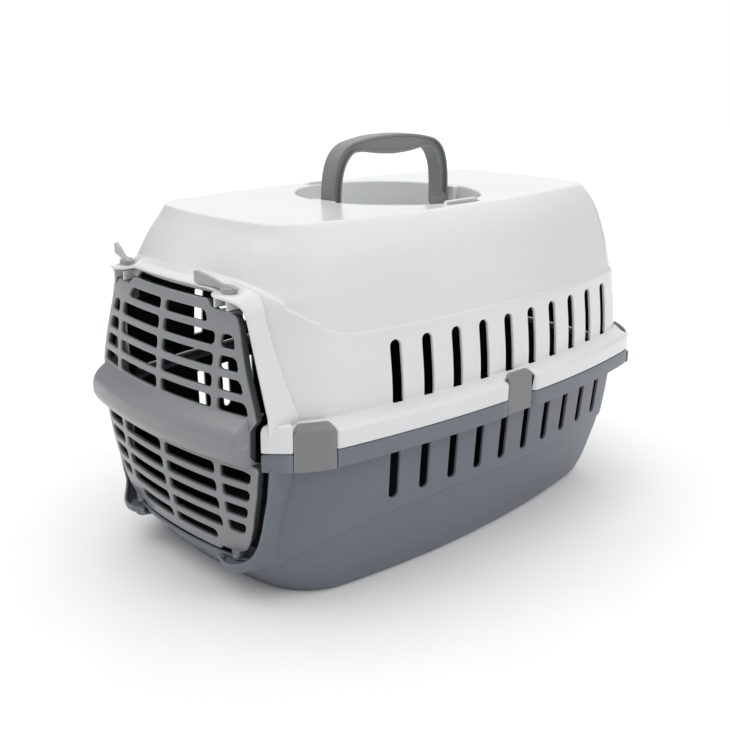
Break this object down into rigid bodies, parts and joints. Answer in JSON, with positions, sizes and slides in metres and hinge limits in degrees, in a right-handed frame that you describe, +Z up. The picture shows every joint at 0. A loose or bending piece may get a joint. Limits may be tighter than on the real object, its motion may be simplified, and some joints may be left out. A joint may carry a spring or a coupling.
{
  "type": "pet transport carrier",
  "caption": "Two-shell plastic pet carrier with a bowed grille door on vertical pins, turn latches, a folding top handle, side air slots and rim clips.",
  "frame": {"origin": "mount base: on the underside of the base plate, on the centre line, 6 mm in front of the middle of the whole length", "axes": "+X to the right seen from the door, +Y from the door to the rear, +Z up"},
  "size_m": [0.3206, 0.5036, 0.3485],
  "materials": {
    "shell_white": "glossy white injection-moulded polypropylene",
    "shell_grey": "satin blue-grey injection-moulded polypropylene",
    "door_grey": "satin mid-grey injection-moulded polypropylene",
    "trim_grey": "satin neutral-grey moulded plastic with a very fine grain",
    "lever_grey": "light grey moulded acetal, slightly glossy"
  },
  "bodies": {
    "carrier": {"lower_shell": "shell_grey", "upper_shell": "shell_white"},
    "door": {"door": "door_grey"},
    "handle": {"handle": "trim_grey"},
    "latch_lever_left": {"latch_lever_left": "lever_grey"},
    "latch_lever_right": {"latch_lever_right": "lever_grey"},
    "clip_front_right": {"clip_front_right": "trim_grey"},
    "clip_mid_right": {"clip_mid_right": "trim_grey"},
    "clip_rear_right": {"clip_rear_right": "trim_grey"},
    "clip_front_left": {"clip_front_left": "trim_grey"},
    "clip_mid_left": {"clip_mid_left": "trim_grey"},
    "clip_rear_left": {"clip_rear_left": "trim_grey"}
  },
  "joints": [
    {"name": "door_swing", "type": "hinge", "parent": "carrier", "child": "door", "pos_m": [-0.07, -0.21, 0.14], "axis": [0, 0, -1], "range_deg": [0, 110]},
    {"name": "handle_fold", "type": "hinge", "parent": "carrier", "child": "handle", "pos_m": [0, 0.025, 0.284], "axis": [0, 1, 0], "range_deg": [-90, 90]},
    {"name": "latch_turn_left", "type": "hinge", "parent": "carrier", "child": "latch_lever_left", "pos_m": [-0.07, -0.21, 0.24], "axis": [0, 0, 1], "range_deg": [0, 90]},
    {"name": "latch_turn_right", "type": "hinge", "parent": "carrier", "child": "latch_lever_right", "pos_m": [0.07, -0.21, 0.24], "axis": [0, 0, 1], "range_deg": [0, 90]},
    {"name": "clip_front_right_hinge", "type": "hinge", "parent": "carrier", "child": "clip_front_right", "pos_m": [0.12668, -0.17936, 0.1225], "axis": [0.454, 0.891, 0], "range_deg": [0, 100]},
    {"name": "clip_mid_right_hinge", "type": "hinge", "parent": "carrier", "child": "clip_mid_right", "pos_m": [0.1531, 0.03287, 0.1225], "axis": [0.0218, 0.9998, 0], "range_deg": [0, 100]},
    {"name": "clip_rear_right_hinge", "type": "hinge", "parent": "carrier", "child": "clip_rear_right", "pos_m": [0.12531, 0.23903, 0.1225], "axis": [-0.848, 0.5299, 0], "range_deg": [0, 100]},
    {"name": "clip_front_left_hinge", "type": "hinge", "parent": "carrier", "child": "clip_front_left", "pos_m": [-0.12668, -0.17936, 0.1225], "axis": [0.454, -0.891, 0], "range_deg": [0, 100]},
    {"name": "clip_mid_left_hinge", "type": "hinge", "parent": "carrier", "child": "clip_mid_left", "pos_m": [-0.1531, 0.03287, 0.1225], "axis": [0.0218, -0.9998, 0], "range_deg": [0, 100]},
    {"name": "clip_rear_left_hinge", "type": "hinge", "parent": "carrier", "child": "clip_rear_left", "pos_m": [-0.12531, 0.23903, 0.1225], "axis": [-0.848, -0.5299, 0], "range_deg": [0, 100]}
  ]
}
